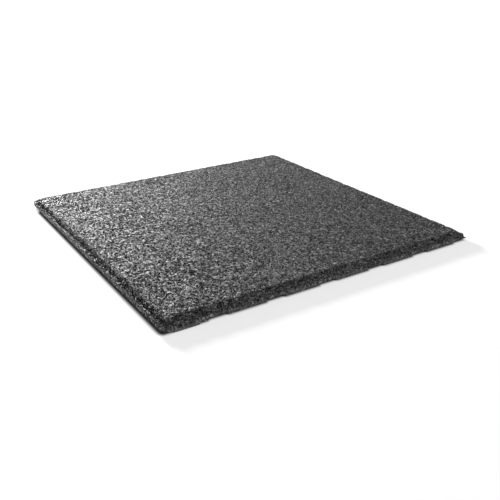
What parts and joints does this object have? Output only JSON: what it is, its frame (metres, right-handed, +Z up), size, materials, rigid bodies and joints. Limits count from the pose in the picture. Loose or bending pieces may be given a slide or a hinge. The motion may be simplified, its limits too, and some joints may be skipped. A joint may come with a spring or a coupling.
{
  "type": "rubber tile",
  "caption": "Square floor tile of pressed black rubber granulate, with a bevelled rim and a channelled underside that drains to one edge.",
  "frame": {"origin": "centre of the square that the tile covers on the floor, at floor level", "axes": "+Z up through the thickness, out of the tread face; +Y towards the edge whose underside is stepped up, along the drainage channels; +X across the channels"},
  "size_m": [0.5, 0.5, 0.0155],
  "materials": {
    "rubber_granulate": "matt black recycled rubber granules, bound and pressed, with an open grainy surface"
  },
  "bodies": {
    "root": {"tile": "rubber_granulate"}
  },
  "joints": []
}
